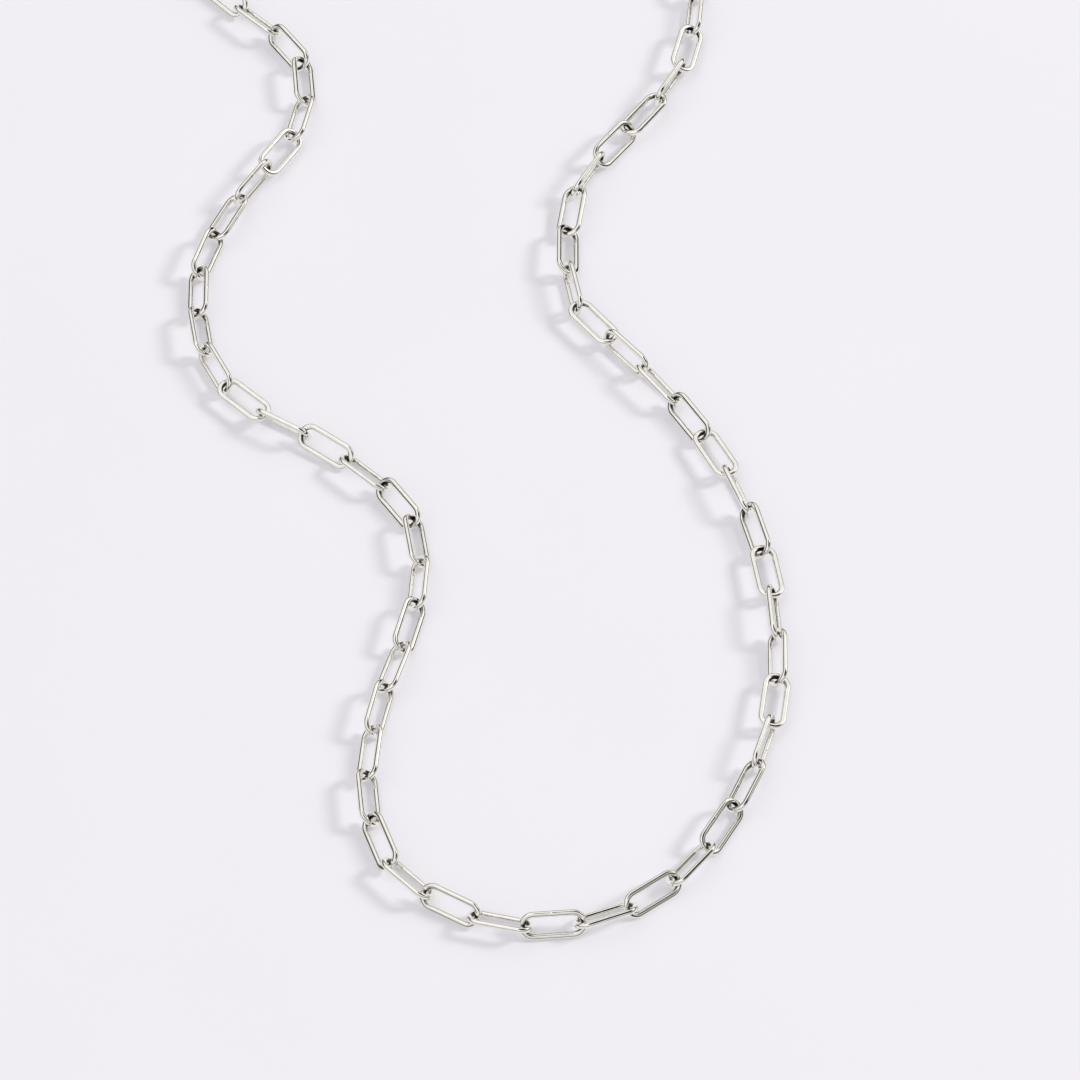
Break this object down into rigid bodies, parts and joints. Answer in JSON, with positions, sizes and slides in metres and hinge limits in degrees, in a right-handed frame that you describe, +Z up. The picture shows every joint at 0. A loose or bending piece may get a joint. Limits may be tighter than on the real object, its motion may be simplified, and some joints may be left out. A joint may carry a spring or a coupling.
{
  "type": "paperclip chain necklace",
  "caption": "Necklace of long flat oval links hooked into one loop, closed behind by a bolt ring, lying loose on a surface.",
  "frame": {"origin": "on the surface that the necklace lies on, under the middle of its box", "axes": "+Z up from the surface, +Y from the front of the necklace towards its clasp, +X towards the wearer's left side as the chain lies"},
  "size_m": [0.0782, 0.1846, 0.0035],
  "materials": {
    "chain_metal": "polished silver, bright rhodium white, with fine wear on the outer sides of the links",
    "clasp_metal": "polished silver, drawn tube with fine hairlines"
  },
  "bodies": {
    "root": {"chain_left": "chain_metal", "chain_right": "chain_metal", "clasp": "clasp_metal"}
  },
  "joints": []
}
